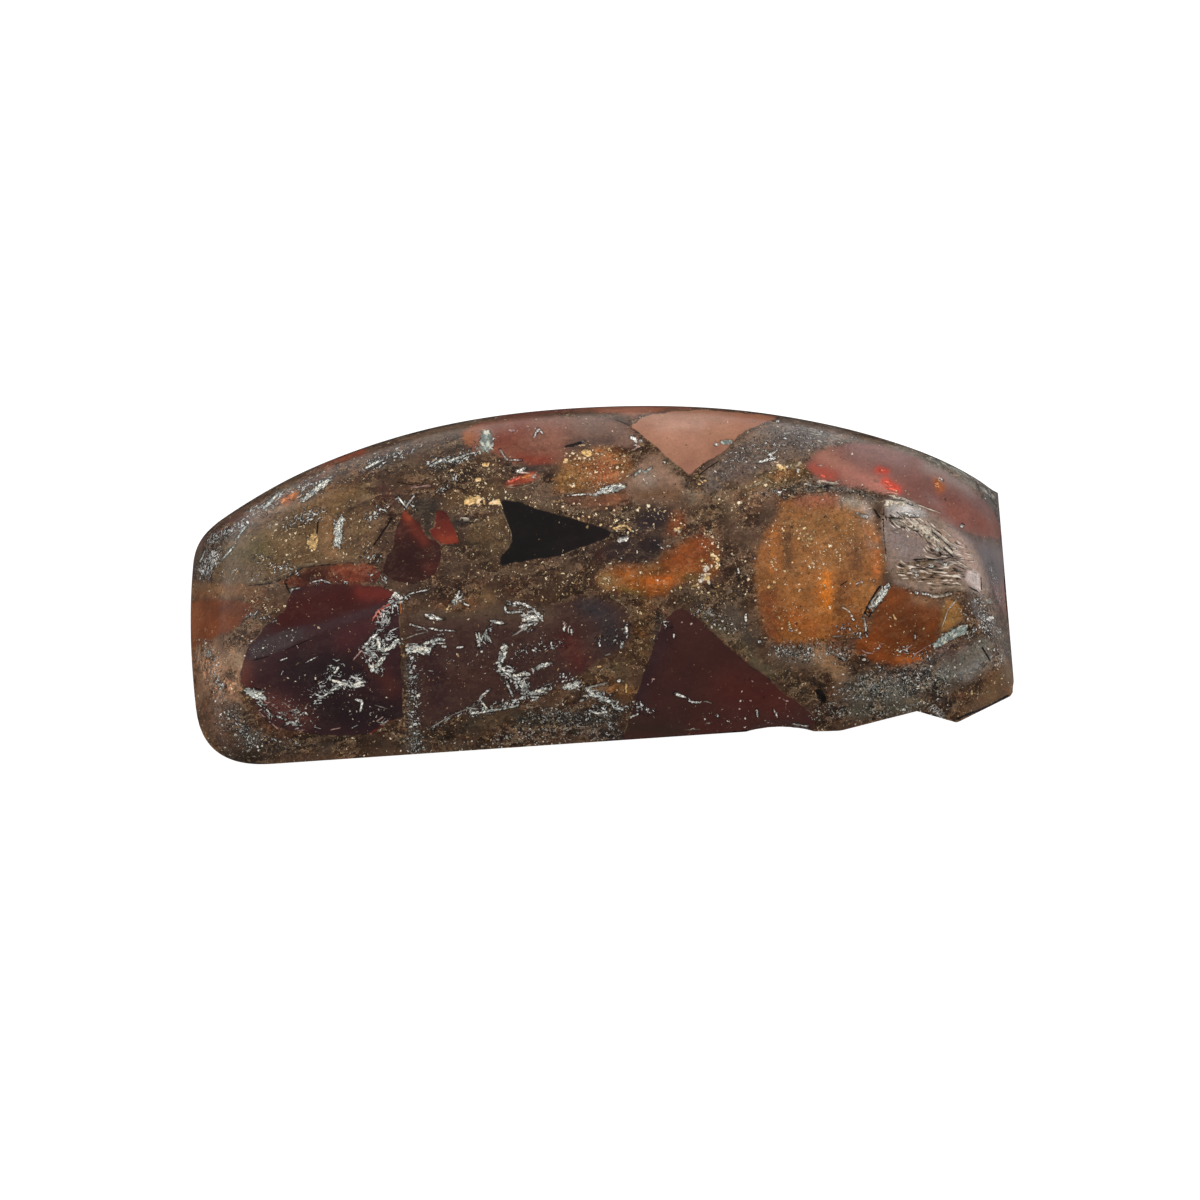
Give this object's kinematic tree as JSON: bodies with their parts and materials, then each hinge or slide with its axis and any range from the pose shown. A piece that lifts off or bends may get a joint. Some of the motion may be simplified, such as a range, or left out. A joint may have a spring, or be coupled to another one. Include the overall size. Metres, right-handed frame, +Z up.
{
  "type": "matrix fire opal cabochon",
  "caption": "Polished free-form opal cabochon, one stone: low dome, flat base, straight front edge, arched back edge.",
  "frame": {"origin": "on the flat base, under the middle of the stone's outline", "axes": "+X along the stone, +Y from the straight front edge to the arched back edge, +Z up out of the base"},
  "size_m": [0.036, 0.0174, 0.0065],
  "materials": {
    "stone": "polished"
  },
  "bodies": {
    "root": {"stone": "stone"}
  },
  "joints": []
}
